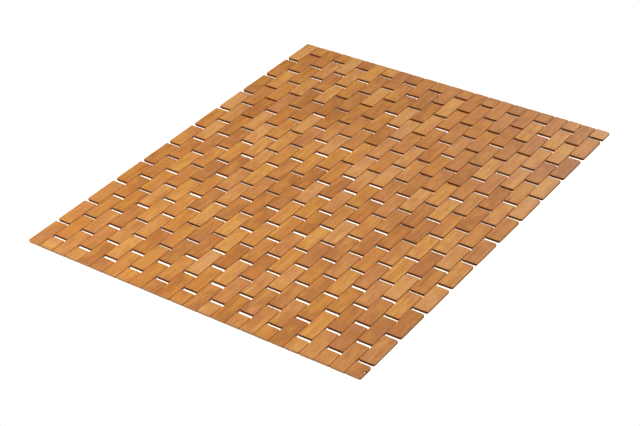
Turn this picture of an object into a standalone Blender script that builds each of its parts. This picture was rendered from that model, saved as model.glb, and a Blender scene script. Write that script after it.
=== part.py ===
"""A roll-up bath mat: rows of wooden slats, laid like bricks and strung on cords.

Frame: metres. X runs along the slats, Y runs along the cords, +Z is up, and the origin is under the
middle of the mat on the floor. Row 1 is at +Y and the last row at -Y.

Each row is one rigid piece. Its drain slots are cut from one long side and leave a thin web at the
other, which stands for the cords' hold on the slats of that row. The mat bends at the seams between
the rows, so each row has its origin on the seam that joins it to the row before.
"""

import bmesh
import bpy
from mathutils import Matrix, Vector

# The mat
MAT_LENGTH = 0.600  # along the slats
MAT_WIDTH = 0.500  # along the cords

# One slat
SLAT_LENGTH = 0.050
SLAT_WIDTH = 0.020
SLAT_THICKNESS = 0.0035
LEAST_SLOT = 0.0045  # shortest drain slot between the ends of two slats
LEAST_SEAM = 0.0008  # narrowest seam between two rows, which sets how far the mat bends
ROW_WEB = 0.0006  # web that keeps a row in one piece behind its slots

# The cords
CORD_DIAMETER = 0.0012
CORD_CLEARANCE = 0.00035  # between a cord and the flats of its hole
CORD_BEVEL_RESOLUTION = 2
BLIND_WALL = 0.003  # wood left between the end of a cord's hole and the mat's outer edge
TOUCH_GAP = 0.0003  # between pieces that touch

# The knot at the end of the first cord, in a notch in the last row's outer edge
KNOT_DIAMETER = 0.0020
NOTCH_LENGTH = 0.0034  # along the edge
KNOTTED_CORD = 1

CUT_MARGIN = 0.002  # how far a cutter reaches past what it cuts

SLAT_COLOUR = (0.66, 0.34, 0.12, 1.0)
SLAT_ROUGHNESS = 0.5
CORD_COLOUR = (0.78, 0.70, 0.56, 1.0)
CORD_ROUGHNESS = 0.8
KNOT_SEGMENTS = 12
KNOT_RINGS = 8


def how_many(span, size, least_gap):
    """How many pieces of one size fit in a span with at least a gap between them."""
    return int((span + least_gap) / (size + least_gap))


# What follows from the sizes above. The slots and seams take up what the slats leave.
SLATS_IN_A_ROW = how_many(MAT_LENGTH, SLAT_LENGTH, LEAST_SLOT)  # the even rows are half a slat out of step
SLOT_LENGTH = (MAT_LENGTH - SLATS_IN_A_ROW * SLAT_LENGTH) / (SLATS_IN_A_ROW - 1)
SLAT_PITCH = SLAT_LENGTH + SLOT_LENGTH
ROWS = how_many(MAT_WIDTH, SLAT_WIDTH, LEAST_SEAM)
ROW_PITCH = (MAT_WIDTH - SLAT_WIDTH) / (ROWS - 1)
MID_HEIGHT = SLAT_THICKNESS / 2
HOLE_WIDTH = CORD_DIAMETER + 2 * CORD_CLEARANCE
CORD_COUNT = 2 * SLATS_IN_A_ROW
FIRST_CORD = -MAT_LENGTH / 2 + (SLAT_PITCH / 2 - SLOT_LENGTH) / 2  # in the middle of a half slat
NOTCH_DEPTH = KNOT_DIAMETER + 2 * TOUCH_GAP
KNOT_Y = -MAT_WIDTH / 2 + TOUCH_GAP + KNOT_DIAMETER / 2


def row_middle(row):
    """The Y of a row's middle, with the rows counted from 1 at +Y."""
    return (MAT_WIDTH - SLAT_WIDTH) / 2 - (row - 1) * ROW_PITCH


def seam_before(row):
    """The Y of the seam that a row turns about. The first row turns about nothing."""
    return row_middle(row) + ROW_PITCH / 2 if row > 1 else row_middle(row)


def slot_middles(row):
    """The X of each drain slot's middle in a row."""
    if row % 2:
        first, count = SLAT_PITCH, SLATS_IN_A_ROW - 1
    else:
        first, count = SLAT_PITCH / 2, SLATS_IN_A_ROW
    start = -MAT_LENGTH / 2 - SLOT_LENGTH / 2 + first
    return [start + i * SLAT_PITCH for i in range(count)]


def cord_places():
    """The X of each cord: the middle of each half slat's length, all along the mat."""
    return [FIRST_CORD + i * SLAT_PITCH / 2 for i in range(CORD_COUNT)]


def knotted_x():
    """The X of the cord that ends in a knot."""
    return cord_places()[KNOTTED_CORD - 1]


def web_side(row):
    """Which side of a row keeps the web: +1 for +Y, -1 for -Y. The mat's two outer edges stay open."""
    return -1 if row == 1 else 1


def start_scene():
    for old in list(bpy.data.objects):
        bpy.data.objects.remove(old, do_unlink=True)
    groups = {}
    for name in ("bath_mat", "cutters"):
        groups[name] = bpy.data.collections.new(name)
        bpy.context.scene.collection.children.link(groups[name])
    return groups


def make_material(name, colour, roughness):
    material = bpy.data.materials.new(name)
    material.use_nodes = True
    shader = material.node_tree.nodes["Principled BSDF"]
    shader.inputs["Base Color"].default_value = colour
    shader.inputs["Roughness"].default_value = roughness
    shader.inputs["Metallic"].default_value = 0.0
    return material


def add_box(mesh_builder, size, middle):
    place = Matrix.Translation(middle) @ Matrix.Diagonal((*size, 1.0))
    bmesh.ops.create_cube(mesh_builder, size=1.0, matrix=place)


def add_mesh_object(name, mesh_builder, group):
    mesh = bpy.data.meshes.new(name)
    mesh_builder.to_mesh(mesh)
    mesh_builder.free()
    piece = bpy.data.objects.new(name, mesh)
    group.objects.link(piece)
    return piece


def hide_cutter(cutter):
    cutter.hide_render = True
    cutter.display_type = "WIRE"


def slot_cutter(row, group):
    """Boxes that cut a row's drain slots and stop at its web."""
    side = web_side(row)
    reach = SLAT_WIDTH - ROW_WEB + CUT_MARGIN
    middle_y = row_middle(row) - side * (SLAT_WIDTH / 2 + CUT_MARGIN - reach / 2)
    size = (SLOT_LENGTH, reach, SLAT_THICKNESS + 2 * CUT_MARGIN)
    builder = bmesh.new()
    for x in slot_middles(row):
        add_box(builder, size, Vector((x, middle_y, MID_HEIGHT)))
    cutter = add_mesh_object(f"cut_slots_{row:02d}", builder, group)
    hide_cutter(cutter)
    return cutter


def hole_ends(row, number):
    """The lowest and highest Y of a cord's hole in a row. It is blind in the two outer rows."""
    low = row_middle(row) - SLAT_WIDTH / 2 - CUT_MARGIN
    high = row_middle(row) + SLAT_WIDTH / 2 + CUT_MARGIN
    if row == 1:
        high = MAT_WIDTH / 2 - BLIND_WALL
    if row == ROWS:
        low = KNOT_Y if number == KNOTTED_CORD else BLIND_WALL - MAT_WIDTH / 2
    return low, high


def hole_cutter(row, group):
    """Square holes that take the cords through a row at half its thickness."""
    builder = bmesh.new()
    for number, x in enumerate(cord_places(), start=1):
        low, high = hole_ends(row, number)
        size = (HOLE_WIDTH, high - low, HOLE_WIDTH)
        add_box(builder, size, Vector((x, (low + high) / 2, MID_HEIGHT)))
    cutter = add_mesh_object(f"cut_holes_{row:02d}", builder, group)
    hide_cutter(cutter)
    return cutter


def notch_cutter(group):
    """A box that opens the last row's outer upper edge for the knot."""
    floor = MID_HEIGHT - KNOT_DIAMETER / 2 - TOUCH_GAP
    height = SLAT_THICKNESS + CUT_MARGIN - floor
    size = (NOTCH_LENGTH, NOTCH_DEPTH + CUT_MARGIN, height)
    middle_y = -MAT_WIDTH / 2 + NOTCH_DEPTH - size[1] / 2
    builder = bmesh.new()
    add_box(builder, size, Vector((knotted_x(), middle_y, floor + height / 2)))
    cutter = add_mesh_object("cut_notch", builder, group)
    hide_cutter(cutter)
    return cutter


def cut(piece, cutter):
    modifier = piece.modifiers.new(cutter.name, "BOOLEAN")
    modifier.operation = "DIFFERENCE"
    modifier.solver = "EXACT"
    modifier.object = cutter


def slat_row(row, material, groups):
    """One row of slats: a bar as long as the mat, with its slots and its cord holes."""
    axis = Vector((0.0, seam_before(row), MID_HEIGHT))
    builder = bmesh.new()
    size = (MAT_LENGTH, SLAT_WIDTH, SLAT_THICKNESS)
    add_box(builder, size, Vector((0.0, row_middle(row), MID_HEIGHT)) - axis)
    piece = add_mesh_object(f"slat_row_{row:02d}", builder, groups["bath_mat"])
    piece.location = axis
    piece.data.materials.append(material)
    cut(piece, slot_cutter(row, groups["cutters"]))
    cut(piece, hole_cutter(row, groups["cutters"]))
    if row == ROWS:
        cut(piece, notch_cutter(groups["cutters"]))
    return piece


def cord(number, x, material, group):
    """One cord, straight through every row and glued in the blind ends of its hole."""
    far = MAT_WIDTH / 2 - BLIND_WALL - TOUCH_GAP
    near = -far
    if number == KNOTTED_CORD:
        near = KNOT_Y + KNOT_DIAMETER / 2 + TOUCH_GAP
    curve = bpy.data.curves.new(f"cord_{number:02d}", "CURVE")
    curve.dimensions = "3D"
    curve.bevel_depth = CORD_DIAMETER / 2
    curve.bevel_resolution = CORD_BEVEL_RESOLUTION
    curve.use_fill_caps = True
    line = curve.splines.new("POLY")
    line.points.add(1)
    line.points[0].co = (0.0, far, 0.0, 1.0)
    line.points[1].co = (0.0, near, 0.0, 1.0)
    piece = bpy.data.objects.new(f"cord_{number:02d}", curve)
    piece.location = (x, 0.0, MID_HEIGHT)
    curve.materials.append(material)
    group.objects.link(piece)
    return piece


def cord_knot(material, group):
    """The knot that ends the first cord, in the notch of the last row."""
    builder = bmesh.new()
    bmesh.ops.create_uvsphere(
        builder, u_segments=KNOT_SEGMENTS, v_segments=KNOT_RINGS, radius=KNOT_DIAMETER / 2
    )
    piece = add_mesh_object("cord_knot", builder, group)
    piece.location = (knotted_x(), KNOT_Y, MID_HEIGHT)
    piece.data.materials.append(material)
    piece.data.shade_smooth()
    return piece


def main():
    groups = start_scene()
    wood = make_material("slat_wood", SLAT_COLOUR, SLAT_ROUGHNESS)
    string = make_material("cord_fibre", CORD_COLOUR, CORD_ROUGHNESS)
    for row in range(1, ROWS + 1):
        slat_row(row, wood, groups)
    for number, x in enumerate(cord_places(), start=1):
        cord(number, x, string, groups["bath_mat"])
    cord_knot(string, groups["bath_mat"])


main()
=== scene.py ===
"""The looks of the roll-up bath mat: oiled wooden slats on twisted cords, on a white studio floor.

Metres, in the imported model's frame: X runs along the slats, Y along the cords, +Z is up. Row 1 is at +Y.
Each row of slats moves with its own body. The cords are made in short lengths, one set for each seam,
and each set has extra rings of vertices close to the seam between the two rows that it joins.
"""

import math

import bmesh
import bpy
from mathutils import Matrix, Vector


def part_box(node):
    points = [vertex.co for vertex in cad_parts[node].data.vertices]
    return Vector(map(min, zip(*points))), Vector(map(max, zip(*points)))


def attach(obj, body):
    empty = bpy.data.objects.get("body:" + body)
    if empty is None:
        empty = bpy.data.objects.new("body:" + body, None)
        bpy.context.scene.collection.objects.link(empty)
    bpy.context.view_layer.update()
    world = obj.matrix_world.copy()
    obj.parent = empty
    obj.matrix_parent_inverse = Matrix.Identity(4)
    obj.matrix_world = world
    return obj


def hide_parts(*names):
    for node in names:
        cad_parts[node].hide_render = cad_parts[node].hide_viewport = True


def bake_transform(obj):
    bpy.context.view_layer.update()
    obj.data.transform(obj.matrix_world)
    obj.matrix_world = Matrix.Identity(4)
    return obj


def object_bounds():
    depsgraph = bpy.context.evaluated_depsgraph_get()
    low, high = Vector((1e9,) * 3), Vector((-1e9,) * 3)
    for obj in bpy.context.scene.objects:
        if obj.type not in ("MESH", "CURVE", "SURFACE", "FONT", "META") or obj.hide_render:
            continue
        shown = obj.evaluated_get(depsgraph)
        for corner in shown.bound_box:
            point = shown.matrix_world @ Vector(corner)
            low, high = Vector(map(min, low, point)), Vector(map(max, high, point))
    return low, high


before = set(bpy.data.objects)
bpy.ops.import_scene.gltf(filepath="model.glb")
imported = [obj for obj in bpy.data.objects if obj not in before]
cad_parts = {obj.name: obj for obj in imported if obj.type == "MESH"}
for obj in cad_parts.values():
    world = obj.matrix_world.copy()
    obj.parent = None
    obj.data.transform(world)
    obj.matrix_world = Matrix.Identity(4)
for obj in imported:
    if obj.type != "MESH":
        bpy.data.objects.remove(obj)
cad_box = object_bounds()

# What the frame gives
MAT_LOW, MAT_HIGH = cad_box
ROW_COUNT = sum(name.startswith("slat_row_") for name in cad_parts)
CORD_COUNT = sum(name.startswith("cord_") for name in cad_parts) - 1  # the knot isn't a cord
THICKNESS = MAT_HIGH.z - MAT_LOW.z
MAT_LENGTH = MAT_HIGH.x - MAT_LOW.x
MID_HEIGHT = THICKNESS / 2

# The slats
SLATS_IN_A_ROW = 11  # in the odd rows; the even rows have one less, and a half slat at each end
SLAT_LENGTH = 0.050
SLOT_LENGTH = (MAT_LENGTH - SLATS_IN_A_ROW * SLAT_LENGTH) / (SLATS_IN_A_ROW - 1)
SLAT_PITCH = SLAT_LENGTH + SLOT_LENGTH
HALF_SLAT_LENGTH = SLAT_PITCH / 2 - SLOT_LENGTH
END_SLAT_X = (MAT_LENGTH - HALF_SLAT_LENGTH) / 2
EDGE_EASE = 0.0004  # rounding of the upper and lower edges
CORNER_RADIUS = 0.0011  # seen from above
OUTER_CORNER_RADIUS = 0.0022  # at the mat's two outer edges
ARC_STEPS = 2
OUTER_ARC_STEPS = 3
HOLE_DIAMETER = 0.0022
HOLE_SIDES = 6
BLIND_WALL = 0.003  # wood left behind a hole in an outer row
NOTCH_SIZE = Vector((0.0044, 0.0030, 0.0030))
NOTCH_CORNER_RADIUS = 0.0008
LEAST_RADIUS = 0.00005  # of a corner, however far it is inset
EDGE_RIM_WIDTH = 0.0011  # of the rim along a slat's edges that carries the painted highlight, the painted light on the side faces and the darker ends

# How far one slat differs from the next
END_TRIM = 0.0007
OUTER_TRIM_SHARE = 0.3  # at the mat's own ends, where the slats line up better
SLIDE = 0.00015
SIDE_PLAY = 0.00015
TURN = math.radians(0.12)
THINNEST = 0.97
SEED_STEP = 31  # from one row to the next; more than a row has draws

# The cords
CORD_DIAMETER = 0.0012
CORD_SIDES = 8
CORD_LAY = 0.004  # length of one turn of the strands
STRANDS = 3
BEND_REACH = 0.002  # each side of a seam, where a cord bends
FIRST_ENDS_SEED = 50
LAST_ENDS_SEED = 51
KNOT_TUBE_DIAMETER = 0.0012
KNOT_RADIUS = 0.0010
KNOT_STEPS = 30
KNOT_LEAD = 0.0006  # how far before the knot its cord stops being straight
KNOT_RISE = 0.0006  # how far the knot stands above the cords

# Camera
CAMERA_PLACE = Vector((-1.3612, -1.0067, 1.1037))
CAMERA_RIGHT = Vector((0.57609, -0.81612, -0.04548))
CAMERA_UP = Vector((0.47969, 0.29250, 0.82725))
CAMERA_LENS_MM = 87.70
SENSOR_MM = 36.0

FLOOR_HEIGHT = -0.0001
OVEREXPOSURE = 2.8  # how bright the floor is close to the mat, where its light spills over the edges


# ---------------------------------------------------------------- camera, floor and light


def make_camera():
    data = bpy.data.cameras.new("camera")
    data.sensor_width = SENSOR_MM
    data.lens = CAMERA_LENS_MM
    data.clip_start = 0.01
    data.clip_end = 100.0
    data.dof.use_dof = False
    camera = bpy.data.objects.new("camera", data)
    bpy.context.scene.collection.objects.link(camera)
    right = CAMERA_RIGHT.normalized()
    back = right.cross(CAMERA_UP).normalized()
    up = back.cross(right)
    turn = Matrix((right, up, back)).transposed()
    camera.matrix_world = Matrix.Translation(CAMERA_PLACE) @ turn.to_4x4()
    bpy.context.scene.camera = camera


def add_softbox(name, place, target, size, power, colour=(1.0, 1.0, 1.0)):
    data = bpy.data.lights.new(name, "AREA")
    data.shape = "RECTANGLE"
    data.size, data.size_y = size
    data.energy = power
    data.color = colour
    lamp = bpy.data.objects.new(name, data)
    bpy.context.scene.collection.objects.link(lamp)
    lamp.location = place
    lamp.rotation_euler = (Vector(target) - Vector(place)).to_track_quat("-Z", "Y").to_euler()


def diffuse(tree, grey):
    made = tree.nodes.new("ShaderNodeBsdfDiffuse")
    made.inputs["Color"].default_value = (grey, grey, grey, 1.0)
    return made


def glow(tree, strength):
    made = tree.nodes.new("ShaderNodeEmission")
    made.inputs["Strength"].default_value = strength
    return made


def mix_shaders(tree, amount, a, b):
    """Shader a where the amount is 0, and b where it is 1."""
    made = tree.nodes.new("ShaderNodeMixShader")
    if isinstance(amount, float):
        made.inputs[0].default_value = amount
    else:
        tree.links.new(amount, made.inputs[0])
    tree.links.new(a.outputs[0], made.inputs[1])
    tree.links.new(b.outputs[0], made.inputs[2])
    return made


def make_world():
    """White behind everything, and a softer light on the mat itself."""
    world = bpy.data.worlds.new("studio")
    world.use_nodes = True
    bpy.context.scene.world = world
    tree = world.node_tree
    tree.nodes.clear()
    light_path = tree.nodes.new("ShaderNodeLightPath")
    fill = tree.nodes.new("ShaderNodeBackground")
    fill.inputs["Color"].default_value = (1.0, 1.0, 1.0, 1.0)
    fill.inputs["Strength"].default_value = 0.18
    white = tree.nodes.new("ShaderNodeBackground")
    white.inputs["Color"].default_value = (1.0, 1.0, 1.0, 1.0)
    white.inputs["Strength"].default_value = 1.0
    pick = tree.nodes.new("ShaderNodeMixShader")
    output = tree.nodes.new("ShaderNodeOutputWorld")
    tree.links.new(light_path.outputs["Is Camera Ray"], pick.inputs[0])
    tree.links.new(fill.outputs[0], pick.inputs[1])
    tree.links.new(white.outputs[0], pick.inputs[2])
    tree.links.new(pick.outputs[0], output.inputs["Surface"])


def floor_material():
    """A white floor. Where nothing stands on it, what has rolled below it shows through. Close to the mat
    it glows for the camera, tinted warm as painted bounce light from the wood, and dimmed by ambient
    occlusion as painted shade in the slots and along the mat's edges.
    """
    material = bpy.data.materials.new("studio_floor")
    material.use_nodes = True
    tree = material.node_tree
    tree.nodes.clear()
    light_path = tree.nodes.new("ShaderNodeLightPath")
    bounce = diffuse(tree, 0.75)
    clear = tree.nodes.new("ShaderNodeBsdfTransparent")
    bright = mix_shaders(tree, 0.7, glow(tree, 1.0), clear)
    cover = tree.nodes.new("ShaderNodeAmbientOcclusion")
    cover.samples = 6
    cover.inputs["Distance"].default_value = 0.008
    bare = remap(tree, cover.outputs["AO"], 0.75, 0.97)
    # Painted light and shade: a warm glow stands in for light bounced off the wood, dimmed by ambient
    # occlusion in the slots and beside the mat.
    glow_with_painted_shade = glow(tree, OVEREXPOSURE)
    glow_with_painted_shade.inputs["Color"].default_value = (1.0, 0.94, 0.85, 1.0)
    strength = number_op(tree, "MULTIPLY", cover.outputs["AO"], OVEREXPOSURE)
    tree.links.new(strength, glow_with_painted_shade.inputs["Strength"])
    seen = mix_shaders(tree, bare, glow_with_painted_shade, bright)
    for_camera = mix_shaders(tree, light_path.outputs["Is Camera Ray"], bounce, seen)
    for_shadow = mix_shaders(tree, light_path.outputs["Is Shadow Ray"], for_camera, clear)
    output = tree.nodes.new("ShaderNodeOutputMaterial")
    tree.links.new(for_shadow.outputs[0], output.inputs["Surface"])
    return material


def make_studio():
    half = 8.0
    mesh = bpy.data.meshes.new("floor")
    corners = [(-half, -half), (half, -half), (half, half), (-half, half)]
    mesh.from_pydata([(x, y, FLOOR_HEIGHT) for x, y in corners], [], [(0, 1, 2, 3)])
    floor = bpy.data.objects.new("floor", mesh)
    bpy.context.scene.collection.objects.link(floor)
    mesh.materials.append(floor_material())
    make_world()
    add_softbox("light_left", (-1.35, 0.75, 1.15), (0.0, 0.0, 0.0), (0.6, 0.6), 25.0)
    add_softbox("light_above", (0.0, 0.0, 2.2), (0.0, 0.0, 0.0), (1.6, 1.6), 16.5)
    add_softbox("light_behind", (2.4, 0.2, 1.35), (0.2, -0.1, 0.0), (1.0, 1.0), 17.0)
    bpy.context.scene.view_settings.view_transform = "Standard"


# ---------------------------------------------------------------- slat shapes


def outline(length, width, inset, radii, steps):
    """Points round a slat seen from above, anticlockwise, and the two long sides' first points."""
    points = []
    firsts = []
    signs = [(1, 1), (-1, 1), (-1, -1), (1, -1)]
    for turn, (sign_x, sign_y) in enumerate(signs):
        radius = max(radii[turn] - inset, LEAST_RADIUS)
        middle_x = sign_x * (length / 2 - inset - radius)
        middle_y = sign_y * (width / 2 - inset - radius)
        for step in range(steps[turn] + 1):
            angle = math.radians(90 * (turn + step / steps[turn]))
            points.append((middle_x + radius * math.cos(angle), middle_y + radius * math.sin(angle)))
        firsts.append(len(points) - 1)
    return points, {1: firsts[0], -1: firsts[2]}


def ring(builder, x, y, height):
    """The vertices of one end of a cord's hole."""
    radius = HOLE_DIAMETER / 2
    turns = [2 * math.pi * i / HOLE_SIDES for i in range(HOLE_SIDES)]
    return [
        builder.verts.new((x + radius * math.cos(a), y, height + radius * math.sin(a))) for a in turns
    ]


def close_ring(builder, verts):
    return [builder.edges.new((a, b)) for a, b in zip(verts, verts[1:] + verts[:1])]


def drill(builder, sides, places, half_width, outer_side):
    """Holes for the cords, right through or, in an outer row, blind on the outer side."""
    rims = {1: [], -1: []}
    for x in places:
        rings = {}
        for side in (1, -1):
            blind = side == outer_side
            y = side * (half_width - (BLIND_WALL if blind else 0.0))
            rings[side] = ring(builder, x, y, MID_HEIGHT)
            edges = close_ring(builder, rings[side])
            if blind:
                builder.faces.new(rings[side])
            else:
                rims[side] += edges
        for i in range(HOLE_SIDES):
            j = (i + 1) % HOLE_SIDES
            builder.faces.new((rings[1][i], rings[1][j], rings[-1][j], rings[-1][i]))
    for side in (1, -1):
        if side == outer_side:
            builder.faces.new(sides[side])
            continue
        corners = sides[side]
        rims[side] += [
            builder.edges.get((a, b)) or builder.edges.new((a, b))
            for a, b in zip(corners, corners[1:] + corners[:1])
        ]
        bmesh.ops.triangle_fill(
            builder, use_beauty=True, use_dissolve=False, edges=rims[side], normal=(0, side, 0)
        )


def slat_shape(name, length, width, places, outer_side=0):
    """One slat with its middle over the origin, its eased edges and its drilled holes."""
    radii = [CORNER_RADIUS] * 4
    steps = [ARC_STEPS] * 4
    for turn, side in enumerate((1, 1, -1, -1)):
        if side == outer_side:
            radii[turn] = OUTER_CORNER_RADIUS
            steps[turn] = OUTER_ARC_STEPS
    half_way = EDGE_EASE * (1 - math.sqrt(0.5))
    profile = [
        (EDGE_EASE, 0.0),
        (0.0, EDGE_EASE),
        (0.0, THICKNESS - EDGE_EASE),
        (half_way, THICKNESS - half_way),
        (EDGE_EASE, THICKNESS),
    ]
    builder = bmesh.new()
    loops = []
    for inset, height in profile:
        points, firsts = outline(length, width, inset, radii, steps)
        loops.append([builder.verts.new((x, y, height)) for x, y in points])
    count = len(loops[0])
    drilled = {}
    for level, (lower, upper) in enumerate(zip(loops, loops[1:])):
        for i in range(count):
            j = (i + 1) % count
            face = (lower[i], lower[j], upper[j], upper[i])
            side = next((s for s, first in firsts.items() if first == i), 0)
            if level == 1 and side:
                drilled[side] = list(face)
            else:
                builder.faces.new(face)
    builder.faces.new(loops[-1])
    builder.faces.new(reversed(loops[0]))
    drill(builder, drilled, places, width / 2, outer_side)
    bmesh.ops.recalc_face_normals(builder, faces=builder.faces)
    mesh = bpy.data.meshes.new(name)
    builder.to_mesh(mesh)
    builder.free()
    slat = bpy.data.objects.new(name, mesh)
    bpy.context.scene.collection.objects.link(slat)
    return slat


def cut_notch(slat, width):
    """A small recess for the knot in the upper outer edge of the corner slat."""
    builder = bmesh.new()
    size = Vector((NOTCH_SIZE.x, NOTCH_SIZE.y * 2, NOTCH_SIZE.z * 2))
    middle = Vector((0.0, -width / 2, THICKNESS))
    place = Matrix.Translation(middle) @ Matrix.Diagonal((*size, 1.0))
    bmesh.ops.create_cube(builder, size=1.0, matrix=place)
    upright = [e for e in builder.edges if abs(e.verts[0].co.z - e.verts[1].co.z) > THICKNESS]
    bmesh.ops.bevel(
        builder, geom=upright, offset=NOTCH_CORNER_RADIUS, segments=3, affect="EDGES", profile=0.5
    )
    mesh = bpy.data.meshes.new("notch_cutter")
    builder.to_mesh(mesh)
    builder.free()
    cutter = bpy.data.objects.new("notch_cutter", mesh)
    bpy.context.scene.collection.objects.link(cutter)
    modifier = slat.modifiers.new("notch", "BOOLEAN")
    modifier.operation = "DIFFERENCE"
    modifier.solver = "EXACT"
    modifier.object = cutter
    slat.data = evaluated_mesh(slat)
    slat.modifiers.clear()
    bpy.data.objects.remove(cutter)


def note_place_in_slat(slat, length, width):
    """What the wood material reads: each point's place in its slat, and which faces show end grain."""
    mesh = slat.data
    places = mesh.attributes.new("from_middle", "FLOAT_VECTOR", "POINT")
    sizes = mesh.attributes.new("half_size", "FLOAT_VECTOR", "POINT")
    for i, vertex in enumerate(mesh.vertices):
        places.data[i].vector = vertex.co
        sizes.data[i].vector = (length / 2, width / 2, THICKNESS)
    ends = mesh.attributes.new("end_grain", "FLOAT", "FACE")
    for face in mesh.polygons:
        ends.data[face.index].value = abs(face.normal.x)
        face.use_smooth = True
    mesh.set_sharp_from_angle(angle=math.radians(50))
    return slat


def make_slat_shapes():
    low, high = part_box("slat_row_02")
    width = high.y - low.y
    whole_holes = [-SLAT_PITCH / 4, SLAT_PITCH / 4]
    shapes = {}
    for kind, side in (("inner", 0), ("first", 1), ("last", -1)):
        shapes[kind, "whole"] = slat_shape(f"{kind}_slat", SLAT_LENGTH, width, whole_holes, side)
        shapes[kind, "half"] = slat_shape(f"{kind}_half_slat", HALF_SLAT_LENGTH, width, [0.0], side)
    shapes["last", "corner"] = slat_shape("corner_slat", HALF_SLAT_LENGTH, width, [0.0], -1)
    cut_notch(shapes["last", "corner"], width)
    for (kind, part), slat in shapes.items():
        note_place_in_slat(slat, SLAT_LENGTH if part == "whole" else HALF_SLAT_LENGTH, width)
    return shapes


# ---------------------------------------------------------------- geometry nodes


def evaluated_mesh(piece):
    """A plain mesh of a piece as its modifiers leave it."""
    depsgraph = bpy.context.evaluated_depsgraph_get()
    return bpy.data.meshes.new_from_object(
        piece.evaluated_get(depsgraph), preserve_all_data_layers=True, depsgraph=depsgraph
    )


def geometry_tree(name, inputs):
    """A tree that makes geometry, with its inputs' names and kinds of socket, and its output."""
    tree = bpy.data.node_groups.new(name, "GeometryNodeTree")
    tree.interface.new_socket(name="Geometry", in_out="OUTPUT", socket_type="NodeSocketGeometry")
    for socket, kind in inputs.items():
        tree.interface.new_socket(name=socket, in_out="INPUT", socket_type=f"NodeSocket{kind}")
    return tree, tree.nodes.new("NodeGroupInput").outputs, tree.nodes.new("NodeGroupOutput").inputs[0]


def add_node(tree, kind, **settings):
    node = tree.nodes.new(kind)
    for name, value in settings.items():
        setattr(node, name, value)
    return node


def vector_of(tree, x=None, y=None, z=None):
    """A vector from up to three sockets."""
    made = tree.nodes.new("ShaderNodeCombineXYZ")
    for socket, source in zip(made.inputs, (x, y, z)):
        if source is not None:
            tree.links.new(source, socket)
    return made.outputs[0]


def number_op(tree, operation, a, b=None, c=None):
    """One step of arithmetic. Each of a, b and c is a socket or a number."""
    made = add_node(tree, "ShaderNodeMath", operation=operation)
    for socket, source in zip(made.inputs, (a, b, c)):
        if isinstance(source, (int, float)):
            socket.default_value = source
        elif source is not None:
            tree.links.new(source, socket)
    return made.outputs[0]


def random_number(tree, seed, step, low, high):
    """A random number for each slat. Each use has its own step from the row's seed."""
    made = add_node(tree, "FunctionNodeRandomValue", data_type="FLOAT")
    own_seed = number_op(tree, "ADD", seed, step)
    tree.links.new(own_seed, made.inputs["Seed"])
    for name, value in (("Min", low), ("Max", high)):
        socket = next(s for s in made.inputs if s.name == name and s.type == "VALUE")
        if isinstance(value, (int, float)):
            socket.default_value = value
        else:
            tree.links.new(value, socket)
    return next(s for s in made.outputs if s.type == "VALUE")


def store(tree, geometry, name, value, domain, kind="FLOAT"):
    made = add_node(tree, "GeometryNodeStoreNamedAttribute", data_type=kind, domain=domain)
    made.inputs["Name"].default_value = name
    tree.links.new(geometry, made.inputs["Geometry"])
    tree.links.new(value, made.inputs["Value"])
    return made.outputs[0]


def read(tree, name, kind="FLOAT"):
    made = add_node(tree, "GeometryNodeInputNamedAttribute", data_type=kind)
    made.inputs["Name"].default_value = name
    return made.outputs["Attribute"]


def line_of(tree, shape, count, first, pitch):
    """Instances of a shape, one every pitch along X."""
    line = add_node(tree, "GeometryNodeMeshLine", mode="OFFSET")
    tree.links.new(count, line.inputs["Count"])
    tree.links.new(first, line.inputs["Start Location"])
    tree.links.new(vector_of(tree, x=pitch), line.inputs["Offset"])
    info = tree.nodes.new("GeometryNodeObjectInfo")
    tree.links.new(shape, info.inputs["Object"])
    placed = tree.nodes.new("GeometryNodeInstanceOnPoints")
    tree.links.new(line.outputs[0], placed.inputs["Points"])
    tree.links.new(info.outputs["Geometry"], placed.inputs["Instance"])
    return placed.outputs[0]


def parts_of(tree, vector):
    """The X, Y and Z sockets of a vector."""
    apart = tree.nodes.new("ShaderNodeSeparateXYZ")
    tree.links.new(vector, apart.inputs[0])
    return apart.outputs


def with_material(tree, geometry, material):
    made = tree.nodes.new("GeometryNodeSetMaterial")
    tree.links.new(geometry, made.inputs["Geometry"])
    tree.links.new(material, made.inputs["Material"])
    return made.outputs[0]


def realized(tree, instances):
    made = tree.nodes.new("GeometryNodeRealizeInstances")
    tree.links.new(instances, made.inputs[0])
    return made.outputs[0]


def spread(tree, given, step, name):
    """A random number up to a named input, either way."""
    least = number_op(tree, "MULTIPLY", given[name], -1.0)
    return random_number(tree, given["Seed"], step, least, given[name])


def lay_slats(tree, given):
    """The slats of a row as instances: its whole slats, and a half slat at each end where it has them."""
    low_end = vector_of(tree, number_op(tree, "MULTIPLY", given["End X"], -1.0), given["Row Y"])
    high_end = vector_of(tree, given["End X"], given["Row Y"])
    first = vector_of(tree, given["First X"], given["Row Y"])
    ends = given["Slats At Each End"]
    joined = tree.nodes.new("GeometryNodeJoinGeometry")
    for made in (
        line_of(tree, given["High End Slat"], ends, high_end, given["Pitch"]),
        line_of(tree, given["Whole Slat"], given["Whole Slats"], first, given["Pitch"]),
        line_of(tree, given["Low End Slat"], ends, low_end, given["Pitch"]),
    ):
        tree.links.new(made, joined.inputs[0])
    return joined.outputs[0]


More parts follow.
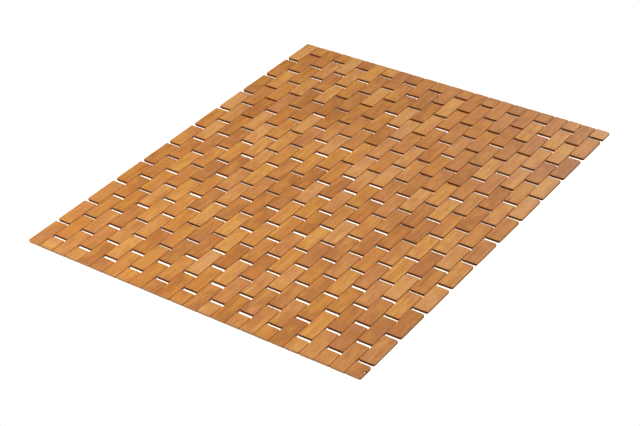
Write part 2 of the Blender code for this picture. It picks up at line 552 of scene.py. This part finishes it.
def loosen_slats(tree, given, slats):
    """Moves, turns and thins each slat a little."""
    moved = tree.nodes.new("GeometryNodeTranslateInstances")
    tree.links.new(slats, moved.inputs["Instances"])
    move = vector_of(tree, spread(tree, given, 1, "Slide"), spread(tree, given, 2, "Side Play"))
    tree.links.new(move, moved.inputs["Translation"])
    turned = tree.nodes.new("GeometryNodeRotateInstances")
    tree.links.new(moved.outputs[0], turned.inputs["Instances"])
    tree.links.new(vector_of(tree, z=spread(tree, given, 3, "Turn")), turned.inputs["Rotation"])
    thinned = tree.nodes.new("GeometryNodeScaleInstances")
    tree.links.new(turned.outputs[0], thinned.inputs["Instances"])
    scale = vector_of(tree, z=random_number(tree, given["Seed"], 4, given["Thinnest"], 1.0))
    scale.node.inputs[0].default_value = 1.0
    scale.node.inputs[1].default_value = 1.0
    tree.links.new(scale, thinned.inputs["Scale"])
    return thinned.outputs[0]


def mark_slats(tree, given, slats):
    """Gives each slat its own tone, warmth, figure and trims."""
    for step, name in ((5, "slat_tone"), (6, "slat_warmth"), (7, "slat_shift")):
        own = random_number(tree, given["Seed"], step, 0.0, 1.0)
        slats = store(tree, slats, name, own, "INSTANCE")
    for step, name in ((8, "low_trim"), (9, "high_trim")):
        slats = store(tree, slats, name, spread(tree, given, step, "End Trim"), "INSTANCE")
    return slats


def trim_ends(tree, given, slats):
    """Makes each slat a little longer or shorter at each end, and less so at the mat's own ends."""
    place = parts_of(tree, read(tree, "from_middle", "FLOAT_VECTOR"))
    size = parts_of(tree, read(tree, "half_size", "FLOAT_VECTOR"))
    reach = number_op(tree, "SUBTRACT", size[0], OUTER_CORNER_RADIUS * 1.2)
    at_high = number_op(tree, "GREATER_THAN", place[0], reach)
    at_low = number_op(tree, "LESS_THAN", place[0], number_op(tree, "MULTIPLY", reach, -1.0))
    high_move = number_op(tree, "MULTIPLY", at_high, read(tree, "high_trim"))
    low_move = number_op(tree, "MULTIPLY", at_low, read(tree, "low_trim"))
    from_centre = parts_of(tree, tree.nodes.new("GeometryNodeInputPosition").outputs[0])
    far = number_op(tree, "ABSOLUTE", from_centre[0])
    outer = number_op(tree, "GREATER_THAN", far, given["Mat End"])
    less = number_op(tree, "SUBTRACT", given["Outer Trim Share"], 1.0)
    share = number_op(tree, "MULTIPLY_ADD", outer, less, 1.0)
    move = number_op(tree, "MULTIPLY", number_op(tree, "ADD", high_move, low_move), share)
    trimmed = tree.nodes.new("GeometryNodeSetPosition")
    tree.links.new(slats, trimmed.inputs["Geometry"])
    tree.links.new(vector_of(tree, move), trimmed.inputs["Offset"])
    return trimmed.outputs[0]


def slat_row_tree():
    """Lays one row of slats, and gives each its own place, thickness, length and tone."""
    tree, given, output = geometry_tree(
        "row_of_slats",
        {
            "Whole Slat": "Object",
            "Low End Slat": "Object",
            "High End Slat": "Object",
            "Whole Slats": "Int",
            "Slats At Each End": "Int",
            "First X": "Float",
            "End X": "Float",
            "Pitch": "Float",
            "Row Y": "Float",
            "Slide": "Float",
            "Side Play": "Float",
            "Turn": "Float",
            "Thinnest": "Float",
            "End Trim": "Float",
            "Mat End": "Float",
            "Outer Trim Share": "Float",
            "Seed": "Int",
            "Wood": "Material",
        },
    )
    slats = loosen_slats(tree, given, lay_slats(tree, given))
    slats = realized(tree, mark_slats(tree, given, slats))
    finished = with_material(tree, trim_ends(tree, given, slats), given["Wood"])
    tree.links.new(finished, output)
    return tree


def cord_line_tree():
    """Lays the same length of cord at each of the cords' places along X."""
    tree, given, output = geometry_tree(
        "line_of_cords",
        {
            "Cord Length": "Object",
            "Cords": "Int",
            "First Place": "Vector",
            "Pitch": "Float",
            "Seed": "Int",
            "Fibre": "Material",
        },
    )
    placed = line_of(tree, given["Cord Length"], given["Cords"], given["First Place"], given["Pitch"])
    rolled = tree.nodes.new("GeometryNodeRotateInstances")
    tree.links.new(placed, rolled.inputs["Instances"])
    roll = random_number(tree, given["Seed"], 1, 0.0, 2 * math.pi)
    tree.links.new(vector_of(tree, y=roll), rolled.inputs["Rotation"])
    finished = with_material(tree, realized(tree, rolled.outputs[0]), given["Fibre"])
    tree.links.new(finished, output)
    return tree


def piece_from_tree(name, tree, values, soften=False):
    """Runs a tree with its inputs set by name, and keeps the result as a plain mesh."""
    piece = bpy.data.objects.new(name, bpy.data.meshes.new(name))
    bpy.context.scene.collection.objects.link(piece)
    modifier = piece.modifiers.new("build", "NODES")
    modifier.node_group = tree
    for item in tree.interface.items_tree:
        if item.in_out == "INPUT":
            modifier[item.identifier] = values[item.name]
    if soften:
        normals = piece.modifiers.new("soften", "WEIGHTED_NORMAL")
        normals.keep_sharp = True
    mesh = evaluated_mesh(piece)
    mesh.name = name
    piece.modifiers.clear()
    piece.data = mesh
    return piece


# ---------------------------------------------------------------- materials


def add_group(name, inputs, outputs):
    """An empty shader group with its sockets."""
    tree = bpy.data.node_groups.new(name, "ShaderNodeTree")
    for socket, kind, value in inputs:
        made = tree.interface.new_socket(name=socket, in_out="INPUT", socket_type=kind)
        if value is not None:
            made.default_value = value
    for socket, kind in outputs:
        tree.interface.new_socket(name=socket, in_out="OUTPUT", socket_type=kind)
    return tree, tree.nodes.new("NodeGroupInput").outputs, tree.nodes.new("NodeGroupOutput").inputs


def use_group(tree, group, **values):
    node = tree.nodes.new("ShaderNodeGroup")
    node.node_tree = group
    for name, value in values.items():
        socket = node.inputs[name.replace("_", " ")]
        if isinstance(value, bpy.types.NodeSocket):
            tree.links.new(value, socket)
        else:
            socket.default_value = value
    return node.outputs


def stretched_noise(tree, place, scale, detail, roughness=0.5, distortion=0.0):
    """Noise with its own scale along each axis, in features per metre."""
    mapping = add_node(tree, "ShaderNodeMapping", vector_type="POINT")
    mapping.inputs["Scale"].default_value = scale
    tree.links.new(place, mapping.inputs["Vector"])
    noise = tree.nodes.new("ShaderNodeTexNoise")
    noise.inputs["Scale"].default_value = 1.0
    noise.inputs["Detail"].default_value = detail
    noise.inputs["Roughness"].default_value = roughness
    noise.inputs["Distortion"].default_value = distortion
    tree.links.new(mapping.outputs[0], noise.inputs["Vector"])
    return noise.outputs["Fac"]


def remap(tree, value, low, high, new_low=0.0, new_high=1.0):
    made = add_node(tree, "ShaderNodeMapRange", clamp=True)
    made.inputs["From Min"].default_value = low
    made.inputs["From Max"].default_value = high
    made.inputs["To Min"].default_value = new_low
    made.inputs["To Max"].default_value = new_high
    tree.links.new(value, made.inputs["Value"])
    return made.outputs[0]


def mix_colours(tree, amount, a, b, blend="MIX"):
    made = add_node(tree, "ShaderNodeMix", data_type="RGBA", blend_type=blend)
    for socket, source in zip((made.inputs["Factor"], made.inputs[6], made.inputs[7]), (amount, a, b)):
        if isinstance(source, bpy.types.NodeSocket):
            tree.links.new(source, socket)
        else:
            socket.default_value = source
    return made.outputs[2]


def srgb(red, green, blue):
    """A display colour, each part from 0 to 255, as the linear colour that a shader takes."""
    parts = [part / 255 for part in (red, green, blue)]
    linear = [p / 12.92 if p <= 0.04045 else ((p + 0.055) / 1.055) ** 2.4 for p in parts]
    return (*linear, 1.0)


def colour_ramp(tree, value, stops):
    made = tree.nodes.new("ShaderNodeValToRGB")
    elements = made.color_ramp.elements
    while len(elements) < len(stops):
        elements.new(0.5)
    for element, (place, colour) in zip(elements, stops):
        element.position = place
        element.color = colour
    tree.links.new(value, made.inputs[0])
    return made.outputs[0]


def attribute(tree, name, output="Fac"):
    made = add_node(tree, "ShaderNodeAttribute", attribute_name=name)
    return made.outputs[output]


def grain_group():
    """Wood figure along X: soft mottling, streaks, fine grain lines and small pores."""
    inputs = [("Place", "NodeSocketVector", None), ("Shift", "NodeSocketFloat", 0.0)]
    outputs = [(name, "NodeSocketFloat") for name in ("Mottling", "Streaks", "Lines", "Pores")]
    tree, given, wanted = add_group("wood_grain", inputs, outputs)
    shift = vector_of(tree, *[number_op(tree, "MULTIPLY", given["Shift"], x) for x in (7.0, 13.0, 5.0)])
    moved = add_node(tree, "ShaderNodeVectorMath", operation="ADD")
    tree.links.new(given["Place"], moved.inputs[0])
    tree.links.new(shift, moved.inputs[1])
    place = moved.outputs[0]
    tree.links.new(stretched_noise(tree, place, (38, 75, 75), 3, 0.55, 0.8), wanted["Mottling"])
    tree.links.new(stretched_noise(tree, place, (12, 210, 210), 4, 0.6, 0.5), wanted["Streaks"])
    tree.links.new(stretched_noise(tree, place, (45, 1300, 1300), 3, 0.6), wanted["Lines"])
    specks = stretched_noise(tree, place, (240, 1900, 1900), 2)
    tree.links.new(remap(tree, specks, 0.67, 0.76), wanted["Pores"])
    return tree


def edge_group():
    """How near a point is to its slat's edges, from 0 inside to 1 at the edge, broken up by noise."""
    inputs = [
        ("From Middle", "NodeSocketVector", None),
        ("Half Size", "NodeSocketVector", None),
        ("Place", "NodeSocketVector", None),
        ("Width", "NodeSocketFloat", EDGE_RIM_WIDTH),
    ]
    outputs = [("Edge", "NodeSocketFloat"), ("Painted Highlight", "NodeSocketFloat"), ("End", "NodeSocketFloat")]
    tree, given, wanted = add_group("slat_edges", inputs, outputs)
    at = parts_of(tree, given["From Middle"])
    size = parts_of(tree, given["Half Size"])
    to_end = number_op(tree, "SUBTRACT", size[0], number_op(tree, "ABSOLUTE", at[0]))
    to_side = number_op(tree, "SUBTRACT", size[1], number_op(tree, "ABSOLUTE", at[1]))
    nearest = number_op(tree, "MINIMUM", to_end, to_side)
    share = number_op(tree, "DIVIDE", nearest, given["Width"])
    edge = remap(tree, share, 0.0, 1.0, 1.0, 0.0)
    breaks = stretched_noise(tree, given["Place"], (260, 260, 260), 3)
    tree.links.new(edge, wanted["Edge"])
    # The painted highlight along the edges, broken up by noise.
    tree.links.new(number_op(tree, "MULTIPLY", edge, remap(tree, breaks, 0.42, 0.62)), wanted["Painted Highlight"])
    end_share = number_op(tree, "DIVIDE", to_end, number_op(tree, "MULTIPLY", given["Width"], 4.0))
    tree.links.new(remap(tree, end_share, 0.0, 1.0, 1.0, 0.0), wanted["End"])
    return tree


def add_relief(tree, shader, height, strength, distance):
    bump = tree.nodes.new("ShaderNodeBump")
    bump.inputs["Strength"].default_value = strength
    bump.inputs["Distance"].default_value = distance
    tree.links.new(height, bump.inputs["Height"])
    tree.links.new(bump.outputs[0], shader.inputs["Normal"])


def bare_wood(tree, place, figure):
    """The slat's own tone, moved by its mottling and streaks, with redder and more golden patches."""
    warmth = attribute(tree, "slat_warmth")
    mottling = remap(tree, figure["Mottling"], 0.3, 0.7, -0.5, 0.5)
    streaks = remap(tree, figure["Streaks"], 0.3, 0.7, -0.5, 0.5)
    mottled = number_op(tree, "MULTIPLY_ADD", mottling, 0.75, attribute(tree, "slat_tone"))
    depth = number_op(tree, "MULTIPLY_ADD", streaks, 0.65, mottled)
    honey = colour_ramp(
        tree,
        depth,
        [
            (0.00, srgb(184, 114, 46)),
            (0.28, srgb(203, 130, 52)),
            (0.52, srgb(212, 140, 58)),
            (0.78, srgb(219, 148, 64)),
            (1.00, srgb(231, 168, 82)),
        ],
    )
    tan = colour_ramp(
        tree,
        depth,
        [(0.0, srgb(190, 122, 62)), (0.5, srgb(209, 142, 84)), (1.0, srgb(224, 163, 108))],
    )
    base = mix_colours(tree, remap(tree, warmth, 0.25, 0.95, 0.0, 0.6), honey, tan)
    blush_spots = remap(tree, figure["Mottling"], 0.52, 0.70)
    blush_amount = number_op(tree, "MULTIPLY", blush_spots, remap(tree, warmth, 0.1, 0.8, 0.55, 0.1))
    base = mix_colours(tree, blush_amount, base, srgb(208, 112, 52))
    patches = stretched_noise(tree, place, (22, 34, 34), 2, 0.5, 0.6)
    base = mix_colours(tree, remap(tree, patches, 0.52, 0.66, 0.0, 0.40), base, srgb(204, 130, 82))
    base = mix_colours(tree, remap(tree, patches, 0.48, 0.34, 0.0, 0.40), base, srgb(221, 156, 66))
    return base


def mark_wood(tree, base, figure, rim):
    """Painted light on the side faces and along the edges, grain lines, pores, a painted highlight on the
    eased edges, and darker ends.
    """
    # Painted light: the side faces and the outermost rim of each slat are made lighter, as if lit.
    side = number_op(tree, "POWER", rim["Edge"], 6.0)
    base = mix_colours(tree, number_op(tree, "MULTIPLY", side, 0.6), base, srgb(240, 160, 84))
    base = mix_colours(tree, remap(tree, figure["Lines"], 0.42, 0.70, 0.0, 0.34), base, srgb(142, 80, 36))
    base = mix_colours(tree, number_op(tree, "MULTIPLY", figure["Pores"], 0.6), base, srgb(92, 48, 20))
    # Painted highlight on the eased edges, where they would catch the light.
    base = mix_colours(tree, number_op(tree, "MULTIPLY", rim["Painted Highlight"], 0.35), base, srgb(228, 176, 124))
    base = mix_colours(tree, number_op(tree, "MULTIPLY", rim["End"], 0.15), base, srgb(150, 88, 40))
    return base


def end_grain_with_painted_shade_and_light(tree, base, place, end_grain):
    """End grain, dark partly as the wood's own end grain and partly as painted shade for the walls deep in
    the slots; paler at the mat's own ends, as painted light on the exposed outer end faces.
    """
    # The end grain's own darker colour, deepened as painted shade for the walls inside the slots.
    base = mix_colours(tree, end_grain, base, srgb(100, 48, 8))
    # Painted light: the end faces at the mat's own ends are made paler, as lit from outside.
    far = number_op(tree, "ABSOLUTE", parts_of(tree, place)[0])
    outermost = number_op(tree, "GREATER_THAN", far, MAT_LENGTH * 0.498)
    painted_light_on_outer_ends = number_op(tree, "MULTIPLY", outermost, end_grain)
    return mix_colours(tree, number_op(tree, "MULTIPLY", painted_light_on_outer_ends, 0.7), base, srgb(196, 150, 104))


def wood_material(grain, edges):
    """Oiled wood. Each slat has its own tone, and a figure that doesn't run on into the next slat."""
    material = bpy.data.materials.new("oiled_slat_wood")
    material.use_nodes = True
    tree = material.node_tree
    shader = tree.nodes["Principled BSDF"]
    place = tree.nodes.new("ShaderNodeTexCoord").outputs["Object"]
    figure = use_group(tree, grain, Place=place, Shift=attribute(tree, "slat_shift"))
    rim = use_group(
        tree,
        edges,
        From_Middle=attribute(tree, "from_middle", "Vector"),
        Half_Size=attribute(tree, "half_size", "Vector"),
        Place=place,
        Width=EDGE_RIM_WIDTH,
    )
    end_grain = remap(tree, attribute(tree, "end_grain"), 0.3, 0.9, 0.0, 0.95)
    base = mark_wood(tree, bare_wood(tree, place, figure), figure, rim)
    base = end_grain_with_painted_shade_and_light(tree, base, place, end_grain)
    tree.links.new(base, shader.inputs["Base Color"])

    shine = number_op(tree, "MULTIPLY_ADD", figure["Streaks"], 0.22, 0.34)
    shine = number_op(tree, "MULTIPLY_ADD", end_grain, 0.4, shine)
    tree.links.new(shine, shader.inputs["Roughness"])
    reflects = number_op(tree, "MULTIPLY_ADD", end_grain, -0.45, 0.5)
    tree.links.new(reflects, shader.inputs["Specular IOR Level"])
    lines = number_op(tree, "MULTIPLY_ADD", figure["Lines"], -0.4, 1.0)
    height = number_op(tree, "MULTIPLY_ADD", figure["Pores"], -0.6, lines)
    height = number_op(tree, "MULTIPLY_ADD", figure["Streaks"], 0.4, height)
    add_relief(tree, shader, height, 0.35, 0.0002)
    return material


def cord_material():
    """Off-white twisted cord. Its strands follow the tube's own map."""
    material = bpy.data.materials.new("twisted_cord_fibre")
    material.use_nodes = True
    tree = material.node_tree
    shader = tree.nodes["Principled BSDF"]
    strand_map = add_node(tree, "ShaderNodeUVMap", uv_map="strands")
    around, along = parts_of(tree, strand_map.outputs[0])[:2]
    turns = number_op(tree, "MULTIPLY_ADD", around, STRANDS, along)
    wave = number_op(tree, "SINE", number_op(tree, "MULTIPLY", turns, 2 * math.pi))
    strands = remap(tree, wave, -1.0, 0.6)
    place = tree.nodes.new("ShaderNodeTexCoord").outputs["Object"]
    fibres = stretched_noise(tree, place, (4200, 900, 4200), 3)
    grime = stretched_noise(tree, place, (160, 160, 160), 2)
    # Darker between the strands: painted shade in the grooves of the twist.
    base = mix_colours(tree, strands, srgb(168, 150, 122), srgb(240, 232, 214))
    base = mix_colours(tree, remap(tree, fibres, 0.4, 0.7, 0.0, 0.35), base, srgb(246, 238, 220))
    base = mix_colours(tree, remap(tree, grime, 0.5, 0.8, 0.0, 0.3), base, srgb(170, 138, 96))
    tree.links.new(base, shader.inputs["Base Color"])
    tree.links.new(number_op(tree, "MULTIPLY_ADD", fibres, 0.2, 0.7), shader.inputs["Roughness"])
    add_relief(tree, shader, number_op(tree, "MULTIPLY_ADD", fibres, 0.3, strands), 0.6, 0.0003)
    return material


# ---------------------------------------------------------------- rows of slats


def middle_of_row(row):
    low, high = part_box(f"slat_row_{row:02d}")
    return (low.y + high.y) / 2


def row_parts(row):
    """The slat shapes of a row: its whole slats, and the ones at its two ends."""
    kind = {1: "first", ROW_COUNT: "last"}.get(row, "inner")
    low_end = "corner" if row == ROW_COUNT else "half"
    return (kind, "whole"), (kind, low_end), (kind, "half")


def make_slat_rows(wood):
    shapes = make_slat_shapes()
    tree = slat_row_tree()
    for row in range(1, ROW_COUNT + 1):
        whole, low_end, high_end = row_parts(row)
        odd = row % 2
        count = SLATS_IN_A_ROW if odd else SLATS_IN_A_ROW - 1
        values = {
            "Whole Slat": shapes[whole],
            "Low End Slat": shapes[low_end],
            "High End Slat": shapes[high_end],
            "Whole Slats": count,
            "Slats At Each End": 0 if odd else 1,
            "First X": -(count - 1) * SLAT_PITCH / 2,
            "End X": END_SLAT_X,
            "Pitch": SLAT_PITCH,
            "Row Y": middle_of_row(row),
            "Slide": SLIDE,
            "Side Play": SIDE_PLAY,
            "Turn": TURN,
            "Thinnest": THINNEST,
            "End Trim": END_TRIM,
            "Mat End": MAT_LENGTH / 2 - OUTER_CORNER_RADIUS * 1.5,
            "Outer Trim Share": OUTER_TRIM_SHARE,
            "Seed": row * SEED_STEP,
            "Wood": wood,
        }
        piece = piece_from_tree(f"row_{row:02d}_slats", tree, values, soften=True)
        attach(piece, f"row_{row:02d}")
        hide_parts(f"slat_row_{row:02d}")
    for slat in shapes.values():
        bpy.data.objects.remove(slat)


# ---------------------------------------------------------------- cords


def cord_length(name, stops):
    """A short straight tube along Y with a ring of vertices at each stop, and a map for its strands."""
    builder = bmesh.new()
    strands = builder.loops.layers.uv.new("strands")
    rings = []
    for y in stops:
        angles = [2 * math.pi * i / CORD_SIDES for i in range(CORD_SIDES)]
        radius = CORD_DIAMETER / 2
        rings.append([builder.verts.new((radius * math.cos(a), y, radius * math.sin(a))) for a in angles])
    for level, (near, far) in enumerate(zip(rings, rings[1:])):
        for i in range(CORD_SIDES):
            j = (i + 1) % CORD_SIDES
            face = builder.faces.new((near[i], far[i], far[j], near[j]))
            face.smooth = True
            around = [i, i, i + 1, i + 1]
            along = [stops[level], stops[level + 1], stops[level + 1], stops[level]]
            for loop, step, y in zip(face.loops, around, along):
                loop[strands].uv = (step / CORD_SIDES, y / CORD_LAY)
    builder.faces.new(rings[0])
    builder.faces.new(reversed(rings[-1]))
    bmesh.ops.recalc_face_normals(builder, faces=builder.faces)
    mesh = bpy.data.meshes.new(name)
    builder.to_mesh(mesh)
    builder.free()
    mesh.set_sharp_from_angle(angle=math.radians(60))
    cord = bpy.data.objects.new(name, mesh)
    bpy.context.scene.collection.objects.link(cord)
    return cord


def cord_x(number):
    low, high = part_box(f"cord_{number:02d}")
    return (low.x + high.x) / 2


def lay_cords(name, tree, fibre, stops, y, seed, first=1):
    """One piece with the same length of every cord from the first on."""
    shape = cord_length(f"{name}_shape", stops)
    values = {
        "Cord Length": shape,
        "Cords": CORD_COUNT - first + 1,
        "First Place": (cord_x(first), y, MID_HEIGHT),
        "Pitch": cord_x(2) - cord_x(1),
        "Seed": seed,
        "Fibre": fibre,
    }
    piece = piece_from_tree(name, tree, values)
    bpy.data.objects.remove(shape)
    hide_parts(*[f"cord_{number:02d}" for number in range(1, CORD_COUNT + 1)])
    return piece


def make_cords(fibre):
    tree = cord_line_tree()
    for row in range(1, ROW_COUNT):
        seam = (middle_of_row(row) + middle_of_row(row + 1)) / 2
        half = (middle_of_row(row) - middle_of_row(row + 1)) / 2
        stops = [half, BEND_REACH, BEND_REACH / 2, 0.0, -BEND_REACH / 2, -BEND_REACH, -half]
        piece = lay_cords(f"cords_at_seam_{row:02d}", tree, fibre, stops, seam, row)
        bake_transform(piece)
    low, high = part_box("cord_02")
    first_stops = [high.y - middle_of_row(1), 0.0]
    piece = lay_cords("cord_ends_in_first_row", tree, fibre, first_stops, middle_of_row(1), FIRST_ENDS_SEED)
    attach(piece, "row_01")
    last_y = middle_of_row(ROW_COUNT)
    last_stops = [0.0, low.y - last_y]
    piece = lay_cords("cord_ends_in_last_row", tree, fibre, last_stops, last_y, LAST_ENDS_SEED, first=2)
    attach(piece, f"row_{ROW_COUNT:02d}")


def knot_loops(middle):
    """Points round a small overhand knot."""
    points = []
    for step in range(KNOT_STEPS):
        angle = 2 * math.pi * step / KNOT_STEPS
        reach = KNOT_RADIUS * (0.62 + 0.38 * math.cos(3 * angle))
        x = middle.x + reach * math.sin(2 * angle) + 0.3 * KNOT_RADIUS * math.sin(angle)
        y = middle.y + reach * math.cos(2 * angle) * 0.9
        z = middle.z + KNOT_RISE + 0.55 * KNOT_RADIUS * math.sin(3 * angle)
        points.append((x, y, z))
    return points


def make_knot(fibre):
    """The first cord's end: its last straight stretch, and a small overhand knot drawn up tight."""
    low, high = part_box("cord_knot")
    middle = (low + high) / 2
    curve = bpy.data.curves.new("first_cord_knot", "CURVE")
    curve.dimensions = "3D"
    curve.bevel_depth = KNOT_TUBE_DIAMETER / 2
    curve.bevel_resolution = 3
    curve.use_fill_caps = True
    line = curve.splines.new("NURBS")
    route = [(middle.x, middle_of_row(ROW_COUNT), MID_HEIGHT), (middle.x, high.y + KNOT_LEAD, MID_HEIGHT)]
    route += knot_loops(middle)
    line.points.add(len(route) - 1)
    for place, (point, co) in enumerate(zip(line.points, route)):
        point.co = (*co, 1.0)
        point.radius = CORD_DIAMETER / KNOT_TUBE_DIAMETER if place < 2 else 1.0
    line.order_u = 3
    line.use_endpoint_u = True
    made = bpy.data.objects.new("first_cord_knot", curve)
    bpy.context.scene.collection.objects.link(made)
    mesh = evaluated_mesh(made)
    bpy.data.objects.remove(made)
    mesh.uv_layers.new(name="strands")
    knot = bpy.data.objects.new("first_cord_knot", mesh)
    bpy.context.scene.collection.objects.link(knot)
    mesh.materials.clear()
    mesh.materials.append(fibre)
    for face in mesh.polygons:
        face.use_smooth = True
    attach(knot, f"row_{ROW_COUNT:02d}")
    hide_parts("cord_knot")


def main():
    make_camera()
    make_studio()
    wood = wood_material(grain_group(), edge_group())
    fibre = cord_material()
    make_slat_rows(wood)
    make_cords(fibre)
    make_knot(fibre)


main()
